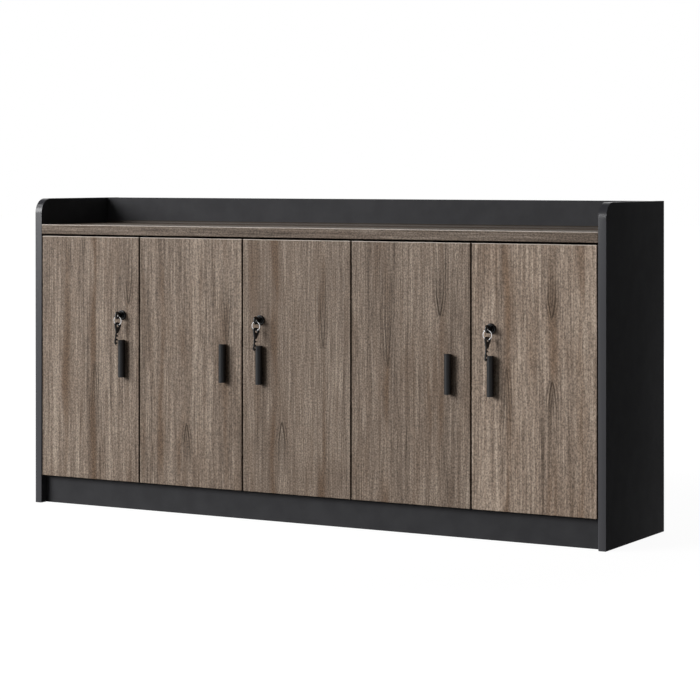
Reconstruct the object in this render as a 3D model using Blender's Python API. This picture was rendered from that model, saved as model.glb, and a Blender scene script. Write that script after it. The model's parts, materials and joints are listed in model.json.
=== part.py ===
"""Low filing cabinet with five hinged doors, three cam locks and their hanging keys.

Metres, +Z up. The front faces -Y, +X is to the right of the front, and the floor is Z = 0.
"""

import math

import bmesh
import bpy
from mathutils import Vector

# Carcass: bays run from a side panel's inner face or a partition's centre to the next
HEIGHT = 0.800
DEPTH = 0.350
LEFT_BAY = 0.312
MIDDLE_BAY = 0.625
RIGHT_BAY = 0.653
SIDE_THICKNESS = 0.020
SIDE_CORNER_RADIUS = 0.038
BOARD_THICKNESS = 0.018
TOP_THICKNESS = 0.025
UPSTAND_HEIGHT = 0.068
UPSTAND_THICKNESS = 0.018
BACK_THICKNESS = 0.009
BACK_INSET = 0.036
PLINTH_HEIGHT = 0.072
PLINTH_RECESS = 0.022
CARCASS_SETBACK = 0.025
SHELF_RISE = 0.300
SHELF_INSET = 0.012
EDGE_ROUND = 0.0015

# Doors
DOOR_THICKNESS = 0.018
DOOR_GAP = 0.004
DOOR_SIDE_GAP = 0.003
DOOR_TOP_GAP = 0.005
DOOR_LIFT = 0.001
DOOR_OPENING = math.radians(95)

# Concealed hinges: a steel cup with a pin sits in the door, a strap on the carcass reaches into it
HINGE_INSET = 0.013
HINGE_END = 0.100
CUP_RADIUS = 0.0175
CUP_DEPTH = 0.0135
CUP_WALL = 0.0008
CUP_EDGE = 0.004
FLANGE_WIDTH = 0.002
FLANGE_THICKNESS = 0.001
PIN_RADIUS = 0.0012
PIN_CLEARANCE = 0.0003
EYE_WALL = 0.001
EYE_CLEARANCE = 0.0005
STRAP_THICKNESS = 0.002
STRAP_HEIGHT = 0.009
STRAP_CLEARANCE = 0.0004
STRAP_RUN = 0.040
NECK_RISE = 0.006
NECK_BEND = 0.005
NECK_LANDING = 0.010
PLATE_THICKNESS = 0.003
PLATE_LENGTH = 0.046
PLATE_HEIGHT = 0.036

# Handles: a round bar on a full-length web
HANDLE_LENGTH = 0.096
HANDLE_RADIUS = 0.0080
HANDLE_STANDOFF = 0.0125
HANDLE_WEB = 0.006
HANDLE_CHAMFER = 0.0006
HANDLE_HEIGHT = 0.390

# Cam locks
LOCK_HEAD_RIM = 0.0031
LOCK_HEAD_THICKNESS = 0.0045
LOCK_HEAD_CHAMFER = 0.001
LOCK_BODY_WALL = 0.0027
LOCK_PLUG_WALL = 0.00195
LOCK_PLUG_END = 0.0019
LOCK_RUNNING_GAP = 0.0003
LOCK_PLUG_PROUD = 0.0006
CAM_THICKNESS = 0.002
CAM_WIDTH = 0.014
CAM_OVERLAP = 0.008
CAM_FLAT = 0.014
CAM_CRANK = 0.008
CAM_CLEARANCE = 0.0015
STRIKE_COVER = 0.004

# Keys and rings
BLADE_THICKNESS = 0.002
BLADE_WIDTH = 0.0085
BOW_THICKNESS = 0.0032
BOW_LENGTH = 0.024
BOW_WIDTH = 0.020
BOW_CORNER = 0.008
BOW_SHOULDER = 0.010
BOW_NECK = 0.001
BOW_HOLE_RADIUS = 0.0035
BOW_HOLE_INSET = 0.009
KEY_CUTS = 4
KEY_CUT_DEPTH = 0.0036
RING_RADIUS = 0.0112
RING_WIRE_RADIUS = 0.0008
RING_LEAN = math.radians(5)
SPARE_KEY_LEAN = math.radians(11.17)
SPARE_KEY_TURN = math.radians(20)
KEY_ROOM = 0.0207

# Clearance left between pieces that touch
SEAT = 0.0003

# Sides of the round pieces
FINE_SIDES = 24
SIDES = 16
WIRE_SIDES = 6
CORNER_STEPS = 8
EDGE_STEPS = 3

# Each door: its bay, its place in the bay, the side it hangs on, where its handle and lock sit in
# from the free edge, and what its lock's cam catches
DOORS = (
    {"bay": 0, "leaf": 0, "leaves": 1, "hang": "left", "handle": 0.046, "lock": 0.0515,
     "catch": "partition"},
    {"bay": 1, "leaf": 0, "leaves": 2, "hang": "left", "handle": 0.051, "lock": None,
     "catch": None},
    {"bay": 1, "leaf": 1, "leaves": 2, "hang": "right", "handle": 0.0535, "lock": 0.0510,
     "catch": "door"},
    {"bay": 2, "leaf": 0, "leaves": 2, "hang": "left", "handle": 0.054, "lock": None,
     "catch": None},
    {"bay": 2, "leaf": 1, "leaves": 2, "hang": "right", "handle": 0.0545, "lock": 0.0515,
     "catch": "door"},
)

# Colours in linear RGB, with roughness and metallic
FINISHES = {
    "charcoal_board": ((0.030, 0.031, 0.033), 0.50, 0.0),
    "wood_laminate": ((0.190, 0.147, 0.115), 0.45, 0.0),
    "black_metal": ((0.012, 0.012, 0.013), 0.42, 0.3),
    "hinge_steel": ((0.560, 0.560, 0.570), 0.35, 1.0),
    "bright_steel": ((0.780, 0.780, 0.790), 0.15, 1.0),
    "black_plastic": ((0.008, 0.008, 0.008), 0.30, 0.0),
}

# Heights and widths that follow from the sizes above
TOP_UNDERSIDE = HEIGHT - UPSTAND_HEIGHT - TOP_THICKNESS
BOTTOM_UNDERSIDE = PLINTH_HEIGHT + SEAT
BOTTOM_TOP = BOTTOM_UNDERSIDE + BOARD_THICKNESS
DOOR_BOTTOM = PLINTH_HEIGHT + DOOR_LIFT
DOOR_TOP = TOP_UNDERSIDE - DOOR_TOP_GAP
INNER_WIDTH = LEFT_BAY + MIDDLE_BAY + RIGHT_BAY
INNER_LEFT = -INNER_WIDTH / 2
BAY_LINES = (INNER_LEFT, INNER_LEFT + LEFT_BAY, INNER_LEFT + LEFT_BAY + MIDDLE_BAY, -INNER_LEFT)

# The hinge's eye turns just clear of the cup's closed end
EYE_RADIUS = PIN_RADIUS + PIN_CLEARANCE + EYE_WALL
HINGE_DEPTH = DOOR_THICKNESS - CUP_DEPTH + CUP_WALL + EYE_CLEARANCE + EYE_RADIUS

# The plug holds the blade, and the lock's body holds the plug
LOCK_PLUG_RADIUS = BLADE_WIDTH / 2 + SEAT + LOCK_PLUG_WALL
LOCK_BODY_RADIUS = LOCK_PLUG_RADIUS + LOCK_RUNNING_GAP + LOCK_BODY_WALL
LOCK_HEAD_RADIUS = LOCK_BODY_RADIUS + LOCK_HEAD_RIM
LOCK_FRONT = LOCK_HEAD_THICKNESS + LOCK_PLUG_PROUD
LOCK_BACK = CARCASS_SETBACK + STRIKE_COVER + CAM_CLEARANCE - 2 * SEAT
BLADE_IN_LOCK = LOCK_FRONT + LOCK_BACK + SEAT - LOCK_PLUG_END
BLADE_LENGTH = BOW_NECK + BLADE_IN_LOCK

# The ring leans back from the key in the lock. The spare key that it carries is turned a little and
# leans out in front of the handle, so its blade is what stands out furthest from the doors
BOW_FRONT = LOCK_FRONT + BOW_NECK + BOW_LENGTH
RING_OUT = BOW_FRONT - BOW_HOLE_INSET
WIRE_DROP = BOW_HOLE_RADIUS - RING_WIRE_RADIUS - SEAT
SPARE_TOP = BOW_HOLE_INSET - WIRE_DROP
SPARE_LENGTH = BOW_LENGTH + BLADE_LENGTH - SPARE_TOP
SPARE_SHOULDER = SPARE_LENGTH - BLADE_WIDTH / 2
SPARE_EDGE = (BLADE_WIDTH / 2 * math.cos(SPARE_KEY_TURN)
              + BLADE_THICKNESS / 2 * math.sin(SPARE_KEY_TURN))
SPARE_REACH = SPARE_SHOULDER * math.sin(SPARE_KEY_LEAN) + SPARE_EDGE * math.cos(SPARE_KEY_LEAN)
SPARE_OUT = RING_OUT - 2 * RING_RADIUS * math.sin(RING_LEAN)
FRONT_REACH = max(BOW_FRONT, SPARE_OUT + SPARE_REACH)

# The lock sits so far above the handle that the spare key's bow hangs clear of it
RING_DROP = WIRE_DROP + 2 * RING_RADIUS * math.cos(RING_LEAN)
SPARE_BOW_DROP = ((BOW_LENGTH - SPARE_TOP) * math.cos(SPARE_KEY_LEAN)
                  + BOW_SHOULDER / 2 * math.sin(SPARE_KEY_LEAN))
LOCK_HEIGHT = HANDLE_HEIGHT + HANDLE_LENGTH / 2 + KEY_ROOM + RING_DROP + SPARE_BOW_DROP

# The doors' face, set so that the whole object, keys included, is centred on Y = 0
FRONT = (FRONT_REACH - DEPTH) / 2
BACK = FRONT + DEPTH


def clear_scene():
    for item in list(bpy.data.objects):
        bpy.data.objects.remove(item, do_unlink=True)


def finish(name):
    """The material of that name, made on its first use."""
    material = bpy.data.materials.get(name)
    if material:
        return material
    colour, roughness, metallic = FINISHES[name]
    material = bpy.data.materials.new(name)
    material.use_nodes = True
    shader = material.node_tree.nodes["Principled BSDF"]
    shader.inputs["Base Color"].default_value = (*colour, 1.0)
    shader.inputs["Roughness"].default_value = roughness
    shader.inputs["Metallic"].default_value = metallic
    material.diffuse_color = (*colour, 1.0)
    return material


def place(name, bm, material, location=(0, 0, 0), parent=None):
    """Turn a bmesh into a named object with its faces pointing out."""
    bmesh.ops.recalc_face_normals(bm, faces=bm.faces)
    mesh = bpy.data.meshes.new(name)
    bm.to_mesh(mesh)
    bm.free()
    mesh.shade_smooth()
    mesh.set_sharp_from_angle(angle=math.radians(35))
    piece = bpy.data.objects.new(name, mesh)
    bpy.context.collection.objects.link(piece)
    piece.location = location
    piece.parent = parent
    if material:
        mesh.materials.append(finish(material))
    return piece


def axis_empty(name, location, parent=None):
    """An empty on a joint's axis that carries what turns with it."""
    empty = bpy.data.objects.new(name, None)
    bpy.context.collection.objects.link(empty)
    empty.location = location
    empty.parent = parent
    return empty


def combine(piece, other, operation):
    """Join, or cut away, a hidden helper object."""
    other.hide_render = True
    other.display_type = "WIRE"
    modifier = piece.modifiers.new(other.name, "BOOLEAN")
    modifier.operation = operation
    modifier.solver = "EXACT"
    modifier.object = other


def add_box(bm, low, high):
    """Add an axis-aligned box between two corners, given in any order."""
    size = [abs(b - a) for a, b in zip(low, high)]
    middle = [(a + b) / 2 for a, b in zip(low, high)]
    made = bmesh.ops.create_cube(bm, size=1)["verts"]
    bmesh.ops.scale(bm, vec=size, verts=made)
    bmesh.ops.translate(bm, vec=middle, verts=made)


def add_prism(bm, outline, start, end, axis):
    """Add an outline drawn across an axis, swept along it from start to end."""
    def point(pair, along):
        spot = list(pair)
        spot.insert("XYZ".index(axis), along)
        return spot

    near = [bm.verts.new(point(pair, start)) for pair in outline]
    far = [bm.verts.new(point(pair, end)) for pair in outline]
    bm.faces.new(near)
    bm.faces.new(far)
    for index, vertex in enumerate(near):
        follow = (index + 1) % len(near)
        bm.faces.new((vertex, near[follow], far[follow], far[index]))


def add_turned(bm, profile, sides, centre=(0, 0), closed=False):
    """Turn (radius, along) points about the Y axis; a closed profile leaves a bore."""
    rings = []
    for radius, along in profile:
        ring = []
        for step in range(sides):
            angle = math.tau * step / sides
            across = centre[0] + radius * math.cos(angle)
            up = centre[1] + radius * math.sin(angle)
            ring.append(bm.verts.new((across, along, up)))
        rings.append(ring)
    pairs = list(zip(rings, rings[1:]))
    if closed:
        pairs.append((rings[-1], rings[0]))
    else:
        bm.faces.new(rings[0])
        bm.faces.new(rings[-1])
    for first, second in pairs:
        for step in range(sides):
            follow = (step + 1) % sides
            bm.faces.new((first[step], first[follow], second[follow], second[step]))


def add_upright(bm, radius, bottom, top, sides):
    """Add a round bar that stands along Z on the local origin."""
    circle = []
    for step in range(sides):
        angle = math.tau * step / sides
        circle.append((radius * math.cos(angle), radius * math.sin(angle)))
    add_prism(bm, circle, bottom, top, "Z")


def round_box_edges(bm):
    """Ease every edge of a board, as its edge banding is."""
    bmesh.ops.bevel(bm, geom=list(bm.edges), offset=EDGE_ROUND, segments=EDGE_STEPS, profile=0.5,
                    affect="EDGES")


def board(name, low, high, material, eased=True):
    bm = bmesh.new()
    add_box(bm, low, high)
    if eased:
        round_box_edges(bm)
    return place(name, bm, material)


def side_panel(name, inner, outward):
    """A full-height end panel whose top front corner is round."""
    outline = [(BACK, 0), (BACK, HEIGHT)]
    for step in range(CORNER_STEPS + 1):
        angle = math.radians(90 + 90 * step / CORNER_STEPS)
        outline.append((FRONT + SIDE_CORNER_RADIUS * (1 + math.cos(angle)),
                        HEIGHT - SIDE_CORNER_RADIUS * (1 - math.sin(angle))))
    outline.append((FRONT, 0))
    bm = bmesh.new()
    add_prism(bm, outline, inner, inner + outward * SIDE_THICKNESS, "X")
    rims = [edge for edge in bm.edges if edge.verts[0].co.x == edge.verts[1].co.x]
    bmesh.ops.bevel(bm, geom=rims, offset=EDGE_ROUND, segments=EDGE_STEPS, profile=0.5,
                    affect="EDGES")
    return place(name, bm, "charcoal_board")


def carcass():
    """Side panels, top, back, bottom, partitions, plinth and shelves."""
    left = INNER_LEFT + SEAT
    right = -INNER_LEFT - SEAT
    back_line = BACK - BACK_INSET
    back_front = back_line - BACK_THICKNESS
    inside_back = back_front - SEAT
    carcass_front = FRONT + CARCASS_SETBACK
    upstand_front = back_line - UPSTAND_THICKNESS
    top_level = TOP_UNDERSIDE + TOP_THICKNESS

    side_panel("left_side_panel", INNER_LEFT, -1)
    side_panel("right_side_panel", -INNER_LEFT, 1)
    board("top_board", (left, FRONT, TOP_UNDERSIDE), (right, upstand_front - SEAT, top_level),
          "wood_laminate")
    board("back_upstand", (left, upstand_front, TOP_UNDERSIDE), (right, back_line, HEIGHT),
          "charcoal_board")
    board("back_panel", (left, back_front, 0), (right, back_line, TOP_UNDERSIDE - SEAT),
          "charcoal_board", eased=False)
    board("bottom_board", (left, carcass_front, BOTTOM_UNDERSIDE),
          (right, inside_back, BOTTOM_TOP), "charcoal_board")
    board("plinth_front", (left, FRONT + PLINTH_RECESS, 0),
          (right, FRONT + PLINTH_RECESS + BOARD_THICKNESS, PLINTH_HEIGHT), "charcoal_board")

    for name, line in (("left_partition", BAY_LINES[1]), ("right_partition", BAY_LINES[2])):
        board(name, (line - BOARD_THICKNESS / 2, carcass_front, BOTTOM_TOP + SEAT),
              (line + BOARD_THICKNESS / 2, inside_back, TOP_UNDERSIDE - SEAT), "charcoal_board")

    shelf_bottom = BOTTOM_TOP + SHELF_RISE
    for bay, name in enumerate(("left_shelf", "middle_shelf", "right_shelf")):
        low, high = bay_walls(bay)
        board(name, (low + SEAT, carcass_front + SHELF_INSET, shelf_bottom),
              (high - SEAT, inside_back, shelf_bottom + BOARD_THICKNESS), "charcoal_board")


def bay_walls(bay):
    """The inner faces on the left and right of a bay."""
    low = BAY_LINES[bay] + (BOARD_THICKNESS / 2 if bay > 0 else 0)
    high = BAY_LINES[bay + 1] - (BOARD_THICKNESS / 2 if bay < 2 else 0)
    return low, high


def door_edges(door):
    """The left and right edges of a door, with its gap to each neighbour."""
    start = BAY_LINES[door["bay"]]
    end = BAY_LINES[door["bay"] + 1]
    step = (end - start) / door["leaves"]
    low = start + step * door["leaf"]
    high = low + step
    low += DOOR_SIDE_GAP if low == BAY_LINES[0] else DOOR_GAP / 2
    high -= DOOR_SIDE_GAP if door["bay"] == 2 and door["leaf"] == 1 else DOOR_GAP / 2
    return low, high


def hinge_axis(door):
    """The world X of a door's hinge pins, and +1 if its free edge lies at +X."""
    low, high = door_edges(door)
    if door["hang"] == "left":
        return low + HINGE_INSET, 1
    return high - HINGE_INSET, -1


def hinge_wall(door):
    """How far the face that carries a door's hinges lies from their pins, towards the hinge edge."""
    axis, way = hinge_axis(door)
    low, high = bay_walls(door["bay"])
    return (axis - low) if way > 0 else (high - axis)


def hinge_heights():
    return DOOR_BOTTOM + HINGE_END, DOOR_TOP - HINGE_END


def cup_centre():
    """Distance of the cup's centre from the pin, towards the free edge."""
    return CUP_EDGE + CUP_RADIUS - HINGE_INSET


def cup_front():
    """Distance of the cup's closed end from the pin, towards the back."""
    return DOOR_THICKNESS - HINGE_DEPTH - CUP_DEPTH


def door_panel(name, door, parent, way):
    """A door with pockets for its hinge cups and, where it has a lock, a hole for it."""
    low, high = door_edges(door)
    axis = parent.location.x
    bm = bmesh.new()
    add_box(bm, (low - axis, -HINGE_DEPTH, 0),
            (high - axis, DOOR_THICKNESS - HINGE_DEPTH, DOOR_TOP - DOOR_BOTTOM))
    round_box_edges(bm)
    panel = place(name, bm, "wood_laminate", parent=parent)

    cuts = bmesh.new()
    past = DOOR_THICKNESS
    for height in hinge_heights():
        add_turned(cuts, ((CUP_RADIUS + SEAT, cup_front() - SEAT), (CUP_RADIUS + SEAT, past)),
                   FINE_SIDES, (way * cup_centre(), height - DOOR_BOTTOM))
    if door["lock"]:
        lock = lock_place(door) - axis
        add_turned(cuts, ((LOCK_BODY_RADIUS + SEAT, -past), (LOCK_BODY_RADIUS + SEAT, past)),
                   FINE_SIDES, (lock, LOCK_HEIGHT - DOOR_BOTTOM))
    cutter = place(name + "_holes", cuts, None, parent=parent)
    combine(panel, cutter, "DIFFERENCE")


def hinge_cup(name, parent, way, height):
    """A turned cup with a flange, joined to the pin that spans it."""
    back = DOOR_THICKNESS - HINGE_DEPTH
    inner = CUP_RADIUS - CUP_WALL
    flange = CUP_RADIUS + FLANGE_WIDTH
    flange_back = back + SEAT + FLANGE_THICKNESS
    profile = (
        (CUP_RADIUS, cup_front()),
        (CUP_RADIUS, back + SEAT),
        (flange, back + SEAT),
        (flange, flange_back),
        (inner, flange_back),
        (inner, cup_front() + CUP_WALL),
    )
    bm = bmesh.new()
    add_turned(bm, profile, FINE_SIDES)
    centre = (way * cup_centre(), 0, height - DOOR_BOTTOM)
    cup = place(name, bm, "hinge_steel", centre, parent)
    half = math.sqrt((CUP_RADIUS - CUP_WALL / 2) ** 2 - cup_centre() ** 2)
    pin = bmesh.new()
    add_upright(pin, PIN_RADIUS, -half, half, SIDES)
    combine(cup, place(name + "_pin", pin, None, (0, 0, centre[2]), parent), "UNION")


def strap_route(wall):
    """The strap's middle line from the pin, round the cup's rim and back to the wall."""
    spare = STRAP_THICKNESS / 2 + STRAP_CLEARANCE
    mouth = DOOR_THICKNESS - HINGE_DEPTH + SEAT + FLANGE_THICKNESS
    chord = math.sqrt((CUP_RADIUS - CUP_WALL) ** 2 - (STRAP_HEIGHT / 2) ** 2)
    near_rim = Vector((cup_centre() - chord, mouth))
    far_rim = Vector((cup_centre() + chord, mouth))
    reach = near_rim.length
    angle = math.atan2(near_rim.y, near_rim.x) - math.asin(spare / reach) - DOOR_OPENING
    neck = Vector((reach * math.cos(angle), reach * math.sin(angle)))
    rim = far_rim + Vector((-1.5 * spare, spare))
    rise = rim + Vector((0.2 * NECK_BEND, NECK_RISE))
    bend = rise + Vector((-NECK_BEND, NECK_BEND))
    landing = Vector((NECK_LANDING - wall, bend.y + NECK_BEND / 2))
    foot = Vector((SEAT + PLATE_THICKNESS - wall, landing.y + NECK_RISE))
    end = foot + Vector((0, STRAP_RUN))
    return [Vector((0, 0)), neck, rim, rise, bend, landing, foot, end]


def strip_outline(route, thickness):
    """Both edges of a strip of even thickness along a middle line."""
    left = []
    right = []
    for index, point in enumerate(route):
        before = (point - route[index - 1]).normalized() if index else None
        after = (route[index + 1] - point).normalized() if index + 1 < len(route) else None
        first = before or after
        second = after or before
        across = Vector((-first.y - second.y, first.x + second.x)).normalized()
        half = thickness / 2 / across.dot(Vector((-first.y, first.x)))
        left.append(point + across * half)
        right.append(point - across * half)
    return left + right[::-1]


def hinge_arm(name, door, height):
    """A cranked strap with an eye round the pin, joined to the plate on the carcass wall."""
    axis, way = hinge_axis(door)
    wall = hinge_wall(door)
    route = strap_route(wall)
    half = STRAP_HEIGHT / 2
    where = (axis, FRONT + HINGE_DEPTH, height)

    bm = bmesh.new()
    add_prism(bm, [(way * p.x, p.y) for p in strip_outline(route, STRAP_THICKNESS)], -half, half, "Z")
    arm = place(name, bm, "hinge_steel", where)

    eye = bmesh.new()
    add_upright(eye, EYE_RADIUS, -half, half, SIDES)
    combine(arm, place(name + "_eye", eye, None, where), "UNION")

    plate = bmesh.new()
    start = route[-2].y - STRAP_THICKNESS
    add_box(plate, (way * (SEAT - wall), start, -PLATE_HEIGHT / 2),
            (way * (SEAT + PLATE_THICKNESS - wall), start + PLATE_LENGTH, PLATE_HEIGHT / 2))
    combine(arm, place(name + "_plate", plate, None, where), "UNION")

    bore = bmesh.new()
    add_upright(bore, PIN_RADIUS + PIN_CLEARANCE, -STRAP_HEIGHT, STRAP_HEIGHT, SIDES)
    combine(arm, place(name + "_bore", bore, None, where), "DIFFERENCE")


def handle(name, parent, door, way):
    """A round bar on a web, drawn across the door and swept along its height."""
    low, high = door_edges(door)
    free = (high if way > 0 else low) - way * door["handle"]
    start = math.asin(HANDLE_WEB / 2 / HANDLE_RADIUS)
    outline = [(HANDLE_WEB / 2, -SEAT)]
    for step in range(FINE_SIDES + 1):
        angle = start + (math.tau - 2 * start) * step / FINE_SIDES
        outline.append((HANDLE_RADIUS * math.sin(angle),
                        -HANDLE_STANDOFF + HANDLE_RADIUS * math.cos(angle)))
    outline.append((-HANDLE_WEB / 2, -SEAT))
    bm = bmesh.new()
    add_prism(bm, outline, -HANDLE_LENGTH / 2, HANDLE_LENGTH / 2, "Z")
    rims = [edge for edge in bm.edges if edge.verts[0].co.z == edge.verts[1].co.z]
    bmesh.ops.bevel(bm, geom=rims, offset=HANDLE_CHAMFER, segments=1, affect="EDGES")
    place(name, bm, "black_metal",
          (free - parent.location.x, -HINGE_DEPTH, HANDLE_HEIGHT - DOOR_BOTTOM), parent)


def lock_place(door):
    """The world X of a door's lock."""
    low, high = door_edges(door)
    if door["hang"] == "left":
        return high - door["lock"]
    return low + door["lock"]


def cam_length(door):
    """From the lock's axis to the cam's tip, past what it catches."""
    if door["catch"] == "partition":
        return door["lock"] + DOOR_GAP / 2 - BOARD_THICKNESS / 2 + CAM_OVERLAP
    return door["lock"] + DOOR_GAP + CAM_OVERLAP


def lock_housing(name, door, parent):
    """The fixed lock body: a head on the door's face and a barrel through it."""
    bore = LOCK_PLUG_RADIUS + LOCK_RUNNING_GAP
    front = -LOCK_HEAD_THICKNESS
    profile = (
        (bore, front),
        (LOCK_HEAD_RADIUS - LOCK_HEAD_CHAMFER, front),
        (LOCK_HEAD_RADIUS, front + LOCK_HEAD_CHAMFER),
        (LOCK_HEAD_RADIUS, -SEAT),
        (LOCK_BODY_RADIUS, -SEAT),
        (LOCK_BODY_RADIUS, LOCK_BACK),
        (bore, LOCK_BACK),
    )
    bm = bmesh.new()
    add_turned(bm, profile, FINE_SIDES, closed=True)
    where = (lock_place(door) - parent.location.x, -HINGE_DEPTH, LOCK_HEIGHT - DOOR_BOTTOM)
    place(name, bm, "black_metal", where, parent)


def lock_plug(name, parent):
    """The turning plug, with a keyway cut into its front."""
    front = -LOCK_FRONT
    bm = bmesh.new()
    add_turned(bm, ((LOCK_PLUG_RADIUS, front), (LOCK_PLUG_RADIUS, LOCK_BACK + SEAT)), SIDES)
    plug = place(name, bm, "black_metal", parent=parent)
    slot = bmesh.new()
    wide = BLADE_THICKNESS / 2 + SEAT
    tall = BLADE_WIDTH / 2 + SEAT
    add_box(slot, (-wide, 2 * front, -tall), (wide, front + BLADE_IN_LOCK + SEAT, tall))
    combine(plug, place(name + "_keyway", slot, None, parent=parent), "DIFFERENCE")


def lock_cam(name, door, parent):
    """The cam behind the plug, hanging down when unlocked: cranked where it catches a door."""
    half = CAM_WIDTH / 2
    middle = LOCK_BACK + 2 * SEAT + CAM_THICKNESS / 2
    route = [Vector((middle, half))]
    if door["catch"] == "door":
        catch = DOOR_THICKNESS + CAM_CLEARANCE + CAM_THICKNESS / 2
        route.append(Vector((middle, -CAM_FLAT)))
        route.append(Vector((catch, -CAM_FLAT - CAM_CRANK)))
        middle = catch
    route.append(Vector((middle, -cam_length(door))))
    bm = bmesh.new()
    add_prism(bm, strip_outline(route, CAM_THICKNESS), -half, half, "X")
    place(name, bm, "hinge_steel", parent=parent)


def strike_slot(door):
    """The slot in the left partition that the first lock's cam turns into."""
    wall = bpy.data.objects["left_partition"]
    face = BAY_LINES[1] - BOARD_THICKNESS / 2
    reach = face - lock_place(door)
    corner = math.hypot(cam_length(door), CAM_WIDTH / 2)
    bottom = LOCK_HEIGHT - math.sqrt(corner ** 2 - reach ** 2) - CAM_CLEARANCE
    top = LOCK_HEIGHT + CAM_WIDTH / 2 + CAM_CLEARANCE
    front = FRONT + LOCK_BACK + 2 * SEAT
    bm = bmesh.new()
    add_box(bm, (face - CAM_OVERLAP, front - CAM_CLEARANCE, bottom),
            (face + CAM_OVERLAP + CAM_CLEARANCE, front + CAM_THICKNESS + CAM_CLEARANCE, top))
    combine(wall, place("strike_slot", bm, None), "DIFFERENCE")


def bow_outline(ring_end, shoulder):
    """A key's bow seen from the side: round at the ring's end, narrow at the blade's."""
    inward = math.copysign(1, shoulder - ring_end)
    middle = ring_end + inward * BOW_CORNER
    straight = BOW_WIDTH / 2 - BOW_CORNER
    arc = []
    for step in range(CORNER_STEPS + 1):
        angle = math.pi / 2 * step / CORNER_STEPS
        arc.append((middle - inward * BOW_CORNER * math.sin(angle),
                    straight + BOW_CORNER * math.cos(angle)))
    lower = [(along, -across) for along, across in reversed(arc)]
    return [(shoulder, BOW_SHOULDER / 2)] + arc + lower + [(shoulder, -BOW_SHOULDER / 2)]


def blade_outline(start, end, direction):
    """A key's blade seen from the side: straight back, notched edge and pointed tip."""
    half = BLADE_WIDTH / 2
    points = [(start, half), (start, -half)]
    pitch = abs(end - start) / (KEY_CUTS + 2)
    for cut in range(KEY_CUTS):
        middle = start + direction * pitch * (cut + 1.5)
        points.append((middle - direction * pitch / 2, -half))
        points.append((middle, -half + KEY_CUT_DEPTH))
    points.append((end - direction * half, -half))
    points.append((end, 0))
    points.append((end - direction * half, half))
    return points


def key_solid(name, bow, blade, hole, parent):
    """A thick bow joined to a thin blade, with a round hole for the ring."""
    bm = bmesh.new()
    add_prism(bm, bow, -BOW_THICKNESS / 2, BOW_THICKNESS / 2, "X")
    key = place(name, bm, "black_plastic", parent=parent)
    metal = bmesh.new()
    add_prism(metal, blade, -BLADE_THICKNESS / 2, BLADE_THICKNESS / 2, "X")
    combine(key, place(name + "_blade", metal, None, parent=parent), "UNION")
    eye = bmesh.new()
    circle = []
    for step in range(SIDES):
        angle = math.tau * step / SIDES
        circle.append((hole[0] + BOW_HOLE_RADIUS * math.cos(angle),
                       hole[1] + BOW_HOLE_RADIUS * math.sin(angle)))
    add_prism(eye, circle, -BOW_THICKNESS, BOW_THICKNESS, "X")
    combine(key, place(name + "_hole", eye, None, parent=parent), "DIFFERENCE")


def inserted_key(name, parent):
    """The key in the lock: its bow stands out from the door in an upright plane."""
    bow_back = -(BOW_FRONT - BOW_LENGTH)
    bow = bow_outline(-BOW_FRONT, bow_back)
    tip = -LOCK_FRONT + BLADE_IN_LOCK
    blade = blade_outline(bow_back - BOW_CORNER, tip, 1)
    key_solid(name, bow, blade, (-RING_OUT, 0), parent)


def key_ring(name, parent):
    """A wire ring that hangs from the bow's hole, with its origin on the wire at its top."""
    bm = bmesh.new()
    rings = []
    for step in range(FINE_SIDES):
        turn = math.tau * step / FINE_SIDES
        circle = []
        for side in range(WIRE_SIDES):
            angle = math.tau * side / WIRE_SIDES
            out = RING_RADIUS + RING_WIRE_RADIUS * math.cos(angle)
            circle.append(bm.verts.new((out * math.sin(turn), RING_WIRE_RADIUS * math.sin(angle),
                                        out * math.cos(turn) - RING_RADIUS)))
        rings.append(circle)
    for index, circle in enumerate(rings):
        follow = rings[(index + 1) % FINE_SIDES]
        for side in range(WIRE_SIDES):
            after = (side + 1) % WIRE_SIDES
            bm.faces.new((circle[side], circle[after], follow[after], follow[side]))
    place(name, bm, "bright_steel", parent=parent)


def spare_key(name, parent):
    """The second key, hanging by its bow from the ring's lowest point."""
    hole = (0, -WIRE_DROP)
    top = SPARE_TOP
    bow = [(across, along) for along, across in bow_outline(top, top - BOW_LENGTH)]
    blade = [(-across, along) for along, across
             in blade_outline(top - BOW_LENGTH + BOW_CORNER, -SPARE_LENGTH, -1)]
    key_solid(name, bow, blade, hole, parent)


def lock_set(number, door, parent):
    """A door's lock with the key in it, its ring and the spare key."""
    label = "_" + str(number)
    lock_housing("lock_housing" + label, door, parent)
    turn = axis_empty("lock_axis" + label, (lock_place(door) - parent.location.x, -HINGE_DEPTH,
                                            LOCK_HEIGHT - DOOR_BOTTOM), parent)
    lock_plug("lock_plug" + label, turn)
    lock_cam("lock_cam" + label, door, turn)
    inserted_key("key" + label, turn)
    swing = axis_empty("ring_axis" + label, (0, -RING_OUT, -WIRE_DROP), turn)
    key_ring("key_ring" + label, swing)
    swing.rotation_euler = (RING_LEAN, 0, 0)
    hang = axis_empty("spare_key_axis" + label, (0, 0, -2 * RING_RADIUS), swing)
    hang.rotation_mode = "ZYX"
    hang.rotation_euler = (-RING_LEAN - SPARE_KEY_LEAN, 0, -SPARE_KEY_TURN)
    spare_key("spare_key" + label, hang)


def hung_door(number, door):
    """One door with its hinges, handle and any lock."""
    axis, way = hinge_axis(door)
    label = "_" + str(number)
    pivot = axis_empty("door_axis" + label, (axis, FRONT + HINGE_DEPTH, DOOR_BOTTOM))
    door_panel("door" + label, door, pivot, way)
    for place_name, height in zip(("lower", "upper"), hinge_heights()):
        hinge_cup(place_name + "_hinge_cup" + label, pivot, way, height)
        hinge_arm(place_name + "_hinge_arm" + label, door, height)
    handle("handle" + label, pivot, door, way)
    if door["lock"]:
        lock_set(number, door, pivot)


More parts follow.
